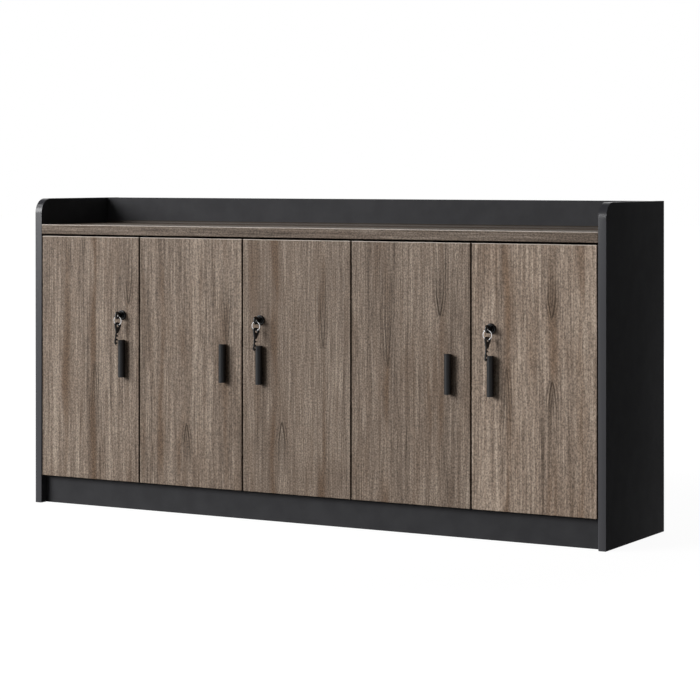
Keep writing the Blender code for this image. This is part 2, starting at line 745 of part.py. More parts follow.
def main():
    clear_scene()
    carcass()
    for number, door in enumerate(DOORS, start=1):
        hung_door(number, door)
        if door["catch"] == "partition":
            strike_slot(door)


main()
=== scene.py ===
"""Low filing cabinet with five wood-grain doors, three cam locks and their keys.

Laid out as an add-on: settings hold the sizes and colours, one operator makes each group of pieces,
and a panel lists them. Metres, +Z up, the front faces -Y.
"""

import json
import math
from functools import partial

import bmesh
import bpy
from bpy.props import FloatProperty, FloatVectorProperty, PointerProperty
from mathutils import Matrix, Vector


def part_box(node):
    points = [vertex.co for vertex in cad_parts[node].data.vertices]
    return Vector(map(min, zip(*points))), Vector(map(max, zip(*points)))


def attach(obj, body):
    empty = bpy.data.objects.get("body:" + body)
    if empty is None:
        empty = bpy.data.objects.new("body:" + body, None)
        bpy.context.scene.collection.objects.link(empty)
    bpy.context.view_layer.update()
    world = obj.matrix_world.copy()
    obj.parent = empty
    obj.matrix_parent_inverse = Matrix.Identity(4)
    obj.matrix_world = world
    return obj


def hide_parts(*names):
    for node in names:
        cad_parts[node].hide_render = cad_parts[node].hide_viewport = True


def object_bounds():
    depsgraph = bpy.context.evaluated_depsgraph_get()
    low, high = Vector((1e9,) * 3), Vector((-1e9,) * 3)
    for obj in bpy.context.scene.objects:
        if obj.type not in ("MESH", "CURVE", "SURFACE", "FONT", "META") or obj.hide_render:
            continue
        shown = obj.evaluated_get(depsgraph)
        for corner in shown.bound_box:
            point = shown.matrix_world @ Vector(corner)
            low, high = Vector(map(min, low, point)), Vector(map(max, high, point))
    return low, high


bl_info = {
    "name": "Low filing cabinet",
    "version": (1, 0, 0),
    "blender": (4, 5, 0),
    "location": "3D View > Sidebar > Cabinet",
    "description": "Finishes and fine pieces of a low filing cabinet with five doors",
    "category": "Object",
}

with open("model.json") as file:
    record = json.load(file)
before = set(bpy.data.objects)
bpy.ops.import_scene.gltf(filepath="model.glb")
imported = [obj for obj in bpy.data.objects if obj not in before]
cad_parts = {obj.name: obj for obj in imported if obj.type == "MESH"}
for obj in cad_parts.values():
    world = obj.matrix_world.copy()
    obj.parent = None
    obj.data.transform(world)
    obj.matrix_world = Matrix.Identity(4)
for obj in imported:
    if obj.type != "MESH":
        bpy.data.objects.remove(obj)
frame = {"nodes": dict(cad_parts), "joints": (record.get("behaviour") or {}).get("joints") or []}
CAD_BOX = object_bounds()

DOORS = (1, 2, 3, 4, 5)
LOCKED_DOORS = (1, 3, 5)
DOOR_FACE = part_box("door_1")[0].y
DOOR_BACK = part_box("door_1")[1].y
JOINT_PLACES = {joint["name"]: Vector(joint["pos_m"]) for joint in frame["joints"]}

SHELVES = ("left_shelf", "middle_shelf", "right_shelf")
END_PANELS = ("left_side_panel", "right_side_panel")
CHARCOAL_NODES = (
    "back_upstand", "back_panel", "bottom_board", "plinth_front", "left_partition", "right_partition",
    *SHELVES,
)

# Turns a piece drawn in its own XY plane, with Z as its front, to face out of the doors, or to the back
FACING_OUT = Matrix.Rotation(math.radians(90), 4, "X")
FACING_BACK = FACING_OUT.inverted()
# Turns local X to the back, local Y up and local Z to the right
SIDEWAYS = Matrix(((0, 0, 1, 0), (1, 0, 0, 0), (0, 1, 0, 0), (0, 0, 0, 1)))
# Turns local X down and local Y to the front
HANGING = Matrix(((0, 0, -1, 0), (0, -1, 0, 0), (-1, 0, 0, 0), (0, 0, 0, 1)))

# How a spare key hangs: its lean outwards, its turn, and how far its end stands above the ring's wire
SPARE_LEAN = math.radians(11.17)
SPARE_TURN = math.radians(20)
SPARE_TOP = 0.0066

# Screw heads: radius and height
HANDLE_SCREW = (0.004, 0.0022)
CAM_SCREW = (0.0042, 0.0024)
HINGE_SCREW = (0.0036, 0.0018)
BACK_SCREW = (0.004, 0.0020)
# Room round the plug in its housing, and round the key in the plug
LOCK_PLAY = 0.0003
# Faces that meet at a larger angle than this have a sharp edge between them
SHARP_ANGLE = math.radians(38)
WHITE = (1.0, 1.0, 1.0, 1.0)
# How far apart the prints of two boards lie in the noise that they are drawn from
PRINT_STEP = 3.7

# Sizes in the print, in metres: width across the grain and length along it
SWING = (1 / 9, 1 / 3)
PATCH = (0.03, 0.25)
# Real pores are under 0.5 mm wide, and print dots and the overlay's pearl texture about 0.3 mm.
# Both are drawn coarser, or they would not show
PORE_WIDTH = 0.002
DOTS = (0.0030, 0.0045)
# Growth rings: from one to the next, half the width of a ring's core and of its soft line,
# how far from the arch they are full and where they end, and the darker margin inside the arch
RING_PITCH = 0.0072
RING_LINE = (0.0011, 0.0028)
RING_REACH = (0.002, 0.013)
ARCH_MARGIN = 0.004
# An arch fades in over this stretch about its tip, which a power under 1 makes round rather than sharp
ARCH_TIP = (-0.006, 0.003)
ARCH_POWER = 0.65

# The printed figure of each board, in metres: its tone, its bands and its arches. The tone is partly the
# board's own print and partly painted light, which evens out the lamps' fall-off to the right, so door_5's
# is the highest. A band is (middle, half width, strength). An arch is (tip across, tip along, +1 to open
# upwards or -1 downwards, half width, length of the opening, reach, strength).
FIGURES = {
    "door_1": (
        1.05, ((-0.716, 0.012, 0.6), (-0.628, 0.010, 1.0), (-0.511, 0.012, 0.4)),
        ((-0.515, 0.530, 1, 0.008, 0.06, 0.15, 0.9), (-0.623, 0.372, -1, 0.010, 0.12, 0.24, 0.7)),
    ),
    "door_2": (
        1.05, ((-0.416, 0.009, 0.7), (-0.356, 0.012, 1.0), (-0.222, 0.011, 0.6)),
        ((-0.336, 0.231, -1, 0.009, 0.05, 0.15, 1.0), (-0.217, 0.430, 1, 0.011, 0.14, 0.24, 0.7)),
    ),
    "door_3": (
        1.01, ((-0.075, 0.012, 1.0), (0.061, 0.010, 0.8), (-0.136, 0.014, 0.3)),
        ((-0.054, 0.251, -1, 0.009, 0.05, 0.15, 1.0), (0.063, 0.440, 1, 0.008, 0.12, 0.24, 0.8)),
    ),
    "door_4": (
        1.08, ((0.242, 0.011, 0.9), (0.384, 0.012, 0.6), (0.362, 0.014, 0.4)),
        ((0.386, 0.527, 1, 0.009, 0.05, 0.17, 1.1), (0.246, 0.400, 1, 0.009, 0.14, 0.26, 0.8)),
    ),
    "door_5": (
        1.49, ((0.561, 0.010, 0.7), (0.679, 0.013, 0.6), (0.752, 0.010, 0.5)),
        ((0.679, 0.531, 1, 0.0095, 0.045, 0.17, 1.1),
         (0.679, 0.383, -1, 0.010, 0.06, 0.16, 1.0),
         (0.561, 0.410, -1, 0.009, 0.14, 0.26, 0.8)),
    ),
    "top_board": (0.76, ((0.640, 0.030, 0.4), (0.720, 0.006, 0.6)), ()),
}


def linear(hex_colour):
    """An sRGB hex colour as linear red, green and blue."""
    parts = []
    for start in (1, 3, 5):
        part = int(hex_colour[start:start + 2], 16) / 255
        parts.append(part / 12.92 if part <= 0.04045 else ((part + 0.055) / 1.055) ** 2.4)
    return tuple(parts)


def colour_setting(name, description, hex_colour):
    """A colour that a user can change."""
    return FloatVectorProperty(name=name, description=description, subtype="COLOR", size=3, min=0.0,
                               max=1.0, default=linear(hex_colour))


def length_setting(name, description, metres):
    """A length that a user can change."""
    return FloatProperty(name=name, description=description, unit="LENGTH", min=0.0, precision=4,
                         default=metres)


def power_setting(name, description, watts):
    """A light's power that a user can change."""
    return FloatProperty(name=name, description=description, unit="POWER", min=0.0, default=watts)


def share_setting(name, description, share):
    """A share from 0 to 1 that a user can change."""
    return FloatProperty(name=name, description=description, subtype="FACTOR", min=0.0, max=1.0,
                         default=share)


class LaminateSettings(bpy.types.PropertyGroup):
    """Wood-grain laminate of the doors and the top board."""
    ground: colour_setting("Ground", "Main tone of the printed wood", "#807164")
    pale: colour_setting("Pale streaks", "Tone of the light streaks", "#AA9B8C")
    dark: colour_setting("Dark streaks", "Tone of the dark streaks", "#4A3E34")
    warm: colour_setting("Brown bands", "Tone that the brown bands lean to", "#685545")
    band_width: length_setting("Band width", "Width of the broad grey bands", 0.060)
    streak_width: length_setting("Streak width", "Width of the clear streaks", 0.011)
    line_width: length_setting("Line width", "Width of the fine lines", 0.0045)
    pore_length: length_setting("Pore length", "Length of the short dark pores", 0.030)
    # Painted light on the board edges: a pale highlight on the rounded upper edges, and shade on the upright
    # edges
    edge_pale: colour_setting("Edge highlight", "Tone of the highlight painted on the upper edges", "#D0C6BC")
    edge_shade: share_setting("Edge shade", "Tone of the upright edges against the faces", 0.3)
    sway: length_setting("Sway", "How far the grain swings from side to side", 0.005)


class BoardSettings(bpy.types.PropertyGroup):
    """Charcoal melamine of the carcass."""
    charcoal: colour_setting("Charcoal", "Tone of the carcass boards", "#3D3D3F")
    charcoal_pale: colour_setting("Charcoal light", "Lighter side of its faint mottle", "#424244")
    edge_grey: colour_setting("Edge band", "Tone of the end panels' edge band", "#353539")
    strip_brown: colour_setting("Joint strip", "Tone of the strip along the top's back edge", "#3F3832")
    pebble: length_setting("Pebble", "Size of the pressed surface's grain", 0.004)
    corner: length_setting("Panel corner", "Radius of the end panels' front corner", 0.038)
    easing: length_setting("Panel easing", "Rounding of the end panels' rims", 0.0015)


class FittingSettings(bpy.types.PropertyGroup):
    """Handles, locks, keys and hinges."""
    handle_black: colour_setting("Handle", "Powder coat of the handles", "#1B1B1D")
    lock_black: colour_setting("Lock", "Enamel of the lock heads", "#070708")
    key_black: colour_setting("Key", "Moulded bow of the keys", "#111112")
    steel: colour_setting("Hinge steel", "Nickel plate of hinges, cams and screws", "#B9B8B4")
    chrome: colour_setting("Ring", "Chrome of the key rings", "#EEEEEF")
    handle_edge: length_setting("Handle edge", "Rounding of the handles' ends", 0.0006)
    bow_length: length_setting("Bow length", "Length of a key's bow", 0.024)
    bow_width: length_setting("Bow width", "Width of a key's bow", 0.020)
    bow_thickness: length_setting("Bow thickness", "Thickness of a key's bow", 0.0032)
    bow_shoulder: length_setting("Bow shoulder", "Width of the bow at the blade", 0.010)
    bow_hole: length_setting("Bow hole", "Radius of the hole for the ring", 0.0035)
    blade_width: length_setting("Blade width", "Width of a key's blade", 0.0085)
    blade_thickness: length_setting("Blade thickness", "Thickness of a key's blade", 0.002)
    cut_depth: length_setting("Cut depth", "Depth of the cuts in a key's blade", 0.0044)
    ring_radius: length_setting("Ring radius", "Radius of a key ring at the middle of its wire", 0.0112)
    ring_wire: length_setting("Ring wire", "Thickness of the two coils of a key ring together", 0.0016)


class StageSettings(bpy.types.PropertyGroup):
    """Floor, background, lights and camera."""
    floor: colour_setting("Floor", "Pale floor", "#F4F4F4")
    camera_place: FloatVectorProperty(name="Camera", description="Where the camera stands", subtype="XYZ",
                                      unit="LENGTH", size=3, default=(2.963, DOOR_FACE - 4.940, 0.869))
    camera_heading: FloatProperty(name="Heading", description="How far the camera is turned to the left",
                                  subtype="ANGLE", unit="ROTATION", default=math.radians(29.75))
    lens: FloatProperty(name="Lens", description="Focal length on a 36 mm sensor", unit="CAMERA",
                        default=120.3, min=10.0)
    drop: share_setting("Drop", "Downward shift of the picture, in picture heights", 0.2539)
    key_power: power_setting("Key light", "Power of the large soft light on the left", 716.0)
    strip_power: power_setting("Top strip", "Power of the strip light up on the left", 16.0)
    fill_power: power_setting("Fill light", "Power of the soft light in front", 6.0)
    back_power: power_setting("Back light", "Power of the soft light behind", 110.0)
    ambient: share_setting("Ambient", "Level of the light from all round", 0.085)


class CabinetSettings(bpy.types.PropertyGroup):
    """All settings of the cabinet."""
    laminate: PointerProperty(type=LaminateSettings)
    board: PointerProperty(type=BoardSettings)
    fitting: PointerProperty(type=FittingSettings)
    stage: PointerProperty(type=StageSettings)


# Materials

def fill_inputs(node, inputs):
    """Set or link a node's inputs, which come by name or in the order of its sockets."""
    named = inputs if isinstance(inputs, dict) else dict(enumerate(inputs))
    for key, value in named.items():
        if isinstance(value, bpy.types.Node):
            value = value.outputs[0]
        if isinstance(value, bpy.types.NodeSocket):
            node.id_data.links.new(value, node.inputs[key])
        else:
            node.inputs[key].default_value = value


def add_node(tree, kind, inputs=(), operation="", **settings):
    """Add a node with its operation and other settings, and set or link its inputs."""
    node = tree.nodes.new("ShaderNode" + kind)
    if operation:
        node.operation = operation
    for name, value in settings.items():
        setattr(node, name, value)
    fill_inputs(node, inputs)
    return node


def start_material(name, roughness, metallic=0.0, specular=0.5):
    """A new material with its shader's even values set, the function that adds its nodes, and the shader."""
    material = bpy.data.materials.new(name)
    material.use_nodes = True
    shader = material.node_tree.nodes["Principled BSDF"]
    fill_inputs(shader, {"Roughness": roughness, "Metallic": metallic, "Specular IOR Level": specular})
    return material, partial(add_node, material.node_tree), shader


def set_ramp(node, stops):
    """Give a colour ramp its stops: (place, linear colour)."""
    ramp = node.color_ramp
    while len(ramp.elements) < len(stops):
        ramp.elements.new(0.5)
    for element, (place, colour) in zip(ramp.elements, stops):
        element.position = place
        element.color = (*colour, 1.0)


def scaled(colour, share):
    """A linear colour made lighter or darker."""
    return tuple(min(1.0, part * share) for part in colour)


def streaks(add, place, width, length, detail):
    """Noise drawn out along the grain, so that its streaks have this width and length in metres."""
    stretched = add("VectorMath", (place, (1 / width, 1 / length, 1.0)), "MULTIPLY")
    return add("TexNoise", {"Vector": stretched, "Scale": 1.0, "Detail": detail})


def streak_tone(add, grain, laminate):
    """Streaks from broad to fine, added up to one tone about 0.5."""
    # Width and length in metres, contrast, and the share of the tone
    layers = (
        (laminate.band_width, 0.90, 1.5, 0.34),
        (laminate.streak_width, 0.60, 2.0, 0.24),
        (laminate.line_width, 0.25, 2.5, 0.30),
        (laminate.line_width / 2, 0.08, 2.5, 0.34),
    )
    tone = 0.5
    for width, length, contrast, share in layers:
        noise = streaks(add, grain, width, length, 2.0)
        half = 0.5 / contrast
        part = add("MapRange", (noise, 0.5 - half, 0.5 + half, -share / 2, share / 2))
        tone = add("Math", (part, tone), "ADD")
    return tone


def growth_rings(add, side, along, arches):
    """Growth rings cut at a slant: thin dark lines, one inside the other, that close to a pointed arch."""
    ink = 0.0
    for tip, start, way, half_width, opening, reach, strength in arches:
        off = add("Math", (side, tip), "SUBTRACT")
        wide = add("Math", (off,), "ABSOLUTE")
        height = add("Math", (along, way, -way * start), "MULTIPLY_ADD")
        opened = add("MapRange", (height, 0.0, opening))
        root = add("Math", (opened, ARCH_POWER), "POWER")
        outside = add("Math", (root, -half_width, wide), "MULTIPLY_ADD")
        repeat = add("Math", (outside, RING_PITCH / 2), "PINGPONG")
        line = add("MapRange", (repeat, *RING_LINE, 1.0, 0.0))
        near = add("Math", (outside,), "ABSOLUTE")
        envelope = add("MapRange", (near, *RING_REACH, 1.0, 0.0))
        inside = add("MapRange", (outside, -ARCH_MARGIN, 0.0, 0.2, 0.0))
        drawn = add("Math", (line, envelope, inside), "MULTIPLY_ADD")
        enter = add("MapRange", (height, *ARCH_TIP))
        leave = add("MapRange", (height, opening * 0.5, reach, strength, 0.0))
        shown = add("Math", (enter, leave), "MULTIPLY")
        ink = add("Math", (drawn, shown, ink), "MULTIPLY_ADD")
    return add("Math", (ink, 0.9), "MULTIPLY", use_clamp=True)


def brown_share(add, grain, side, bands):
    """How far the print leans to brown: in faint patches, and in bands that come and go along the board."""
    patches = streaks(add, grain, *PATCH, 1.0)
    lean = add("MapRange", (patches, 0.45, 0.80, 0.0, 0.5))
    comes = add("MapRange", (patches, 0.36, 0.62, 0.05, 0.75))
    for middle, half_width, strength in bands:
        off = add("Math", (side, middle), "SUBTRACT")
        wide = add("Math", (off,), "ABSOLUTE")
        band = add("MapRange", (wide, half_width * 0.3, half_width * 1.6, 1.2 * strength, 0.0),
                   interpolation_type="SMOOTHSTEP")
        lean = add("Math", (band, comes, lean), "MULTIPLY_ADD")
    return lean


def wood_laminate(node_name, laminate, seed):
    """Printed wood decor under a melamine overlay, pressed against a textured plate.

    The print gives streaks, bands, arches and pores in a few brown-greys, and the overlay a low satin sheen.
    The rounded upper edges are paler than the faces, a painted highlight,
    and the upright edges darker, painted shade.
    """
    level, bands, arches = FIGURES[node_name]
    material, add, shader = start_material("wood_laminate_" + node_name, 0.5, specular=0.15)
    coordinates = add("TexCoord")
    spot = add("SeparateXYZ", (coordinates.outputs["Object"],))
    # Depth counts as width, so that the print turns over a board's edges
    if node_name == "top_board":
        along = spot.outputs["X"]
        across = add("Math", (spot.outputs["Z"], spot.outputs["Y"]), "SUBTRACT")
    else:
        along = spot.outputs["Z"]
        behind = add("Math", (spot.outputs["Y"], DOOR_FACE), "SUBTRACT")
        across = add("Math", (spot.outputs["X"], behind), "ADD")

    # The grain swings slowly to and fro, about twice over the height of a door
    flow = add("CombineXYZ", (across, along, seed))
    swing = streaks(add, flow, *SWING, 3.0)
    moved = add("Math", (swing, 2 * laminate.sway, -laminate.sway), "MULTIPLY_ADD")
    side = add("Math", (across, moved), "ADD")
    grain = add("CombineXYZ", (side, along, seed))

    tone = streak_tone(add, grain, laminate)
    inked = growth_rings(add, side, along, arches)
    ramp = add("ValToRGB", (tone,))
    # The board's tone carries painted light as well as its print: it evens out the lamps' fall-off
    set_ramp(ramp, ((0.10, scaled(laminate.dark, level)), (0.50, scaled(laminate.ground, level)),
                    (0.90, scaled(laminate.pale, level))))
    lean = brown_share(add, grain, side, bands)
    brown = (*scaled(laminate.warm, level), 1.0)
    ring_brown = (*scaled(laminate.warm, level * 0.33), 1.0)
    browned = add("Mix", {"Factor": lean, "A": ramp, "B": brown}, data_type="RGBA")
    ringed = add("Mix", {"Factor": inked, "A": browned.outputs["Result"], "B": ring_brown}, data_type="RGBA")

    pore_noise = streaks(add, grain, PORE_WIDTH, laminate.pore_length, 1.0)
    pores = add("MapRange", (pore_noise, 0.58, 0.74, 1.0, 0.72))
    dots = streaks(add, flow, *DOTS, 1.0)
    speckle = add("MapRange", (dots, 0.3, 0.7, 0.60, 1.40))
    shade = add("Math", (pores, speckle), "MULTIPLY")
    # Painted shade: the upright edges, where the normal points sideways, are darkened so that the gaps
    # between the doors look dark
    facing = add("SeparateXYZ", (coordinates.outputs["Normal"],))
    sideways = add("Math", (facing.outputs["X"],), "ABSOLUTE")
    painted_gap_shade = add("MapRange", (sideways, 0.97, 0.99, 1.0, laminate.edge_shade))
    toned = add("Math", (shade, painted_gap_shade), "MULTIPLY")
    printed = add("VectorMath", {0: ringed.outputs["Result"], "Scale": toned}, "SCALE")
    # Painted highlight: the rounded upper edges, where the normal's upward part is neither 0 nor 1, turn to
    # a pale tone
    upright = add("Math", (facing.outputs["Z"], 0.0), "MAXIMUM")
    ridge = add("Math", (upright, 0.5), "PINGPONG")
    highlight_share = add("MapRange", (ridge, 0.01, 0.2))
    edge_pale = (*laminate.edge_pale, 1.0)
    colour = add("Mix", {"Factor": highlight_share, "A": printed, "B": edge_pale}, data_type="RGBA")
    rough = add("MapRange", (tone, 0.2, 0.8, 0.56, 0.46))
    bump = add("Bump", {"Height": shade, "Strength": 0.12, "Distance": 0.0004})
    fill_inputs(shader, {"Base Color": colour.outputs["Result"], "Roughness": rough, "Normal": bump})
    return material


def shades(colour, dark, pale):
    """The dark and the pale side of a linear colour, as shares of it."""
    return (scaled(colour, dark), scaled(colour, pale))


def grained_finish(name, colours, roughness, grain, detail=2.0, relief=0.0, depth=0.0002, mottle=0.0,
                   specular=0.5, metallic=0.0):
    """A finish whose grain, given in metres each way, breaks up its colour, its sheen and its relief.

    The colour runs between two, and so does the roughness. A mottle, given in metres, takes the colour over
    from the grain.
    """
    material, add, shader = start_material(name, sum(roughness) / 2, metallic, specular)
    place = add("TexCoord").outputs["Object"]
    fine = add("VectorMath", (place, [1 / size for size in grain]), "MULTIPLY")
    grains = add("TexNoise", {"Vector": fine, "Scale": 1.0, "Detail": detail})
    tint = grains
    span = (0.3, 0.7)
    if mottle:
        tint = add("TexNoise", {"Vector": place, "Scale": 1 / mottle, "Detail": 4.0})
        span = (0.35, 0.65)
    ramp = add("ValToRGB", (tint,))
    set_ramp(ramp, tuple(zip(span, colours)))
    rough = add("MapRange", (grains, 0.3, 0.7, *roughness))
    fill_inputs(shader, {"Base Color": ramp, "Roughness": rough})
    if relief:
        bump = add("Bump", {"Height": grains, "Strength": relief, "Distance": depth})
        fill_inputs(shader, {"Normal": bump})
    return material


def finish(name):
    """The shared finish of that name, made on its first use."""
    material = bpy.data.materials.get(name)
    if material:
        return material
    board = bpy.context.scene.filing_cabinet.board
    fitting = bpy.context.scene.filing_cabinet.fitting
    coat = (0.85, 1.15)
    plate_tones = (0.88, 1.06)
    # The real pebble of pressed boards and edging is about 0.4 mm, drawn coarser to show; their mottle is
    # about 50 mm across
    pressed = {"grain": [board.pebble] * 3, "depth": 0.0004, "mottle": 0.05}
    # The lines of rolled or drawn steel are about 0.1 mm apart, drawn coarser to show
    plated = {"detail": 3.0, "metallic": 1.0}
    recipes = {
        # Melamine film pressed on particle board against a pearl plate: matt, with a faint mottle
        "charcoal_melamine": dict(
            pressed, colours=(board.charcoal, board.charcoal_pale), roughness=(0.57, 0.63), relief=0.06,
            specular=0.02),
        # Plastic edging, extruded smooth: an even grey with a satin sheen
        "grey_abs_edging": dict(
            pressed, colours=shades(board.edge_grey, 1.0, 1.04), roughness=(0.274, 0.286), specular=0.4),
        # The same edging on the rims that face the light: paler and duller, a painted highlight
        "scraped_abs_rim": dict(
            pressed, colours=shades(board.edge_grey, 2.2, 2.5), roughness=(0.386, 0.414), relief=0.02,
            specular=0.3),
        # A matt dark brown strip that stands for the shade in the corner behind the top: painted shade
        "painted_shade_strip": dict(
            pressed, colours=shades(board.strip_brown, 1.0, 1.2), roughness=(0.524, 0.576), relief=0.05,
            specular=0.2),
        # Powder sprayed and baked on an extruded bar: soft sheen, broken by orange peel of about 1 mm
        "powder_coated_aluminium": dict(
            colours=shades(fitting.handle_black, *coat), grain=[0.0012] * 3, roughness=(0.37, 0.47),
            relief=0.06, specular=0.3),
        # Enamel sprayed on cast zinc: glossy black that flows out to slow waves of about 3 mm
        "black_enamelled_zinc": dict(
            colours=shades(fitting.lock_black, *coat), grain=[0.0030] * 3, roughness=(0.15, 0.25),
            relief=0.03, specular=0.3),
        # Plastic moulded in an etched tool: half-gloss black. The etched grain is 0.1 mm, drawn 1 mm to show
        "moulded_black_abs": dict(
            colours=shades(fitting.key_black, *coat), grain=[0.0010] * 3, roughness=(0.29, 0.39),
            relief=0.08),
        # Nickel on pressed sheet: warm bright grey, with faint lines along the way it was rolled
        "nickel_plated_steel": dict(
            plated, colours=shades(fitting.steel, *plate_tones), grain=(0.0025, 1 / 60, 0.0025),
            roughness=(0.256, 0.40)),
        # Chrome on drawn wire: a bright mirror, a little broken up
        "chromed_spring_wire": dict(
            plated, colours=shades(fitting.chrome, *plate_tones), grain=[1 / 300] * 3,
            roughness=(0.176, 0.275)),
    }
    return grained_finish(name, **recipes[name])


def dress(node_name, material):
    """Give a CAD node its finish."""
    slots = frame["nodes"][node_name].material_slots
    for slot in slots:
        slot.link = "OBJECT"
        slot.material = material
    if not slots:
        raise ValueError(node_name + " has no material slot")


# Shapes

def arc(centre, radius, start, end, steps):
    """Points along an arc with both its ends: angles in degrees, one radius or one each way."""
    across, up = radius if isinstance(radius, tuple) else (radius, radius)
    points = []
    for step in range(steps + 1):
        angle = math.radians(start + (end - start) * step / steps)
        points.append((centre[0] + across * math.cos(angle), centre[1] + up * math.sin(angle)))
    return points


def circle(radius, centre=(0.0, 0.0), sides=32):
    """Points round a circle."""
    return arc(centre, radius, 0, 360, sides)[:-1]


def join_rings(bm, rings):
    """Join rings of vertices by faces, each to the next; a ring may be a single point."""
    sides = max(len(ring) for ring in rings)
    for first, second in zip(rings, rings[1:]):
        for step in range(sides):
            follow = (step + 1) % sides
            corners = (first[step % len(first)], first[follow % len(first)],
                       second[follow % len(second)], second[step % len(second)])
            bm.faces.new(dict.fromkeys(corners))


def turned(profile, sides=48):
    """A bmesh turned about its local Z axis from (radius, height) points."""
    bm = bmesh.new()
    rings = []
    for radius, height in profile:
        count = sides if radius > 1e-6 else 1
        rings.append([bm.verts.new((x, y, height)) for x, y in circle(radius, sides=sides)[:count]])
    join_rings(bm, rings)
    return bm


def plate(outlines, thickness, edge):
    """A flat bmesh cut to closed outlines, the later ones holes, with its rims rounded."""
    curve = bpy.data.curves.new("plate_outline", "CURVE")
    curve.dimensions = "2D"
    curve.fill_mode = "BOTH"
    curve.extrude = thickness / 2 - edge
    curve.bevel_depth = edge
    curve.bevel_resolution = 2
    curve.offset = -edge
    for outline in outlines:
        spline = curve.splines.new("POLY")
        spline.points.add(len(outline) - 1)
        for point, (x, y) in zip(spline.points, outline):
            point.co = (x, y, 0.0, 1.0)
        spline.use_cyclic_u = True
    holder = bpy.data.objects.new("plate_outline", curve)
    mesh = bpy.data.meshes.new_from_object(holder)
    bm = bmesh.new()
    bm.from_mesh(mesh)
    bmesh.ops.remove_doubles(bm, verts=bm.verts, dist=1e-6)
    bpy.data.objects.remove(holder)
    bpy.data.curves.remove(curve)
    bpy.data.meshes.remove(mesh)
    return bm


def prism(outline, start, end):
    """A bmesh swept from a closed outline in its own XY plane, along local Z."""
    bm = bmesh.new()
    near = [bm.verts.new((x, y, start)) for x, y in outline]
    far = [bm.verts.new((x, y, end)) for x, y in outline]
    bm.faces.new(near)
    bm.faces.new(far)
    join_rings(bm, (near, far))
    return bm


def ease_ends(bm, width):
    """Round the rims at both ends of a prism."""
    rims = [edge for edge in bm.edges if edge.verts[0].co.z == edge.verts[1].co.z]
    bmesh.ops.bevel(bm, geom=rims, offset=width, segments=3, profile=0.5, affect="EDGES")


def mesh_object(name, bm):
    """A new object that holds a bmesh, which is then freed."""
    bmesh.ops.recalc_face_normals(bm, faces=bm.faces)
    mesh = bpy.data.meshes.new(name)
    bm.to_mesh(mesh)
    bm.free()
    holder = bpy.data.objects.new(name, mesh)
    bpy.context.scene.collection.objects.link(holder)
    return holder


def combined(bm, other, operation):
    """Two closed bmeshes cut or joined to one."""
    piece = mesh_object("combined_piece", bm)
    helper = mesh_object("combined_helper", other)
    modifier = piece.modifiers.new("combine", "BOOLEAN")
    modifier.operation = operation
    modifier.solver = "EXACT"
    modifier.object = helper
    made = piece.evaluated_get(bpy.context.evaluated_depsgraph_get())
    result = bmesh.new()
    result.from_mesh(made.to_mesh())
    made.to_mesh_clear()
    for item in (piece, helper):
        mesh = item.data
        bpy.data.objects.remove(item)
        bpy.data.meshes.remove(mesh)
    return result


def repeated(bm, places):
    """One bmesh repeated at several places, each a point and a turn."""
    result = bmesh.new()
    for point, turn in places:
        mesh = bpy.data.meshes.new("copy")
        bm.to_mesh(mesh)
        mesh.transform(Matrix.Translation(point) @ turn)
        result.from_mesh(mesh)
        bpy.data.meshes.remove(mesh)
    bm.free()
    return result


def make_piece(name, bm, finish_names, body, slot, *nodes, place=Matrix()):
    """Turn a bmesh, moved to its place, into a piece that rides on a body and stands for CAD nodes."""
    bm.transform(place)
    piece = mesh_object(name, bm)
    piece.data.shade_smooth()
    piece.data.set_sharp_from_angle(angle=SHARP_ANGLE)
    for finish_name in finish_names.split():
        piece.data.materials.append(finish(finish_name))
    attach(piece, body)
    if nodes:
        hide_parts(*nodes)


def make_steel_piece(name, bm, body, place=Matrix()):
    """A plated screw, nut or pin, which stands for no CAD node."""
    make_piece(name, bm, "nickel_plated_steel", body, "hinge_steel", place=place)


def screw(head_radius, head_height):
    """A pan-head screw's head with a cross recess, standing on its local Z = 0."""
    rim = head_height * 0.27
    flat = head_radius * 0.35
    dome = arc((flat, rim), (head_radius - flat, head_height - rim), 0, 90, 6)
    head = turned([(0.0, 0.0), (head_radius, 0.0), *dome, (0.0, head_height)], 28)
    arm = head_radius * 0.62
    half = head_radius * 0.13
    cross = [(arm, half), (half, half), (half, arm), (-half, arm), (-half, half), (-arm, half),
             (-arm, -half), (-half, -half), (-half, -arm), (half, -arm), (half, -half), (arm, -half)]
    cutter = prism(cross, head_height * 0.35, head_height * 1.3)
    return combined(head, cutter, "DIFFERENCE")


def lock_centre(number):
    """The lock's axis where it meets the door's face."""
    low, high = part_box("lock_housing_" + str(number))
    return Vector(((low.x + high.x) / 2, DOOR_FACE, (low.z + high.z) / 2))


class CABINET_OT_boards(bpy.types.Operator):
    """Make the end panels with their edge bands, and give the other boards their charcoal melamine"""
    bl_idname = "filing_cabinet.boards"
    bl_label = "Make carcass boards"

    def execute(self, context):
        board = context.scene.filing_cabinet.board
        for node_name in CHARCOAL_NODES:
            dress(node_name, finish("charcoal_melamine"))
        for node_name in END_PANELS:
            panel = end_panel(*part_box(node_name), board.corner, board.easing)
            make_piece(node_name.replace("side", "end"), panel,
                       "charcoal_melamine grey_abs_edging scraped_abs_rim", "carcass", "charcoal_board",
                       node_name)
        # The dark brown strip in the corner behind the top is painted shade
        make_piece("top_joint_strip", joint_strip(), "painted_shade_strip", "carcass", "top_laminate")
        return {"FINISHED"}


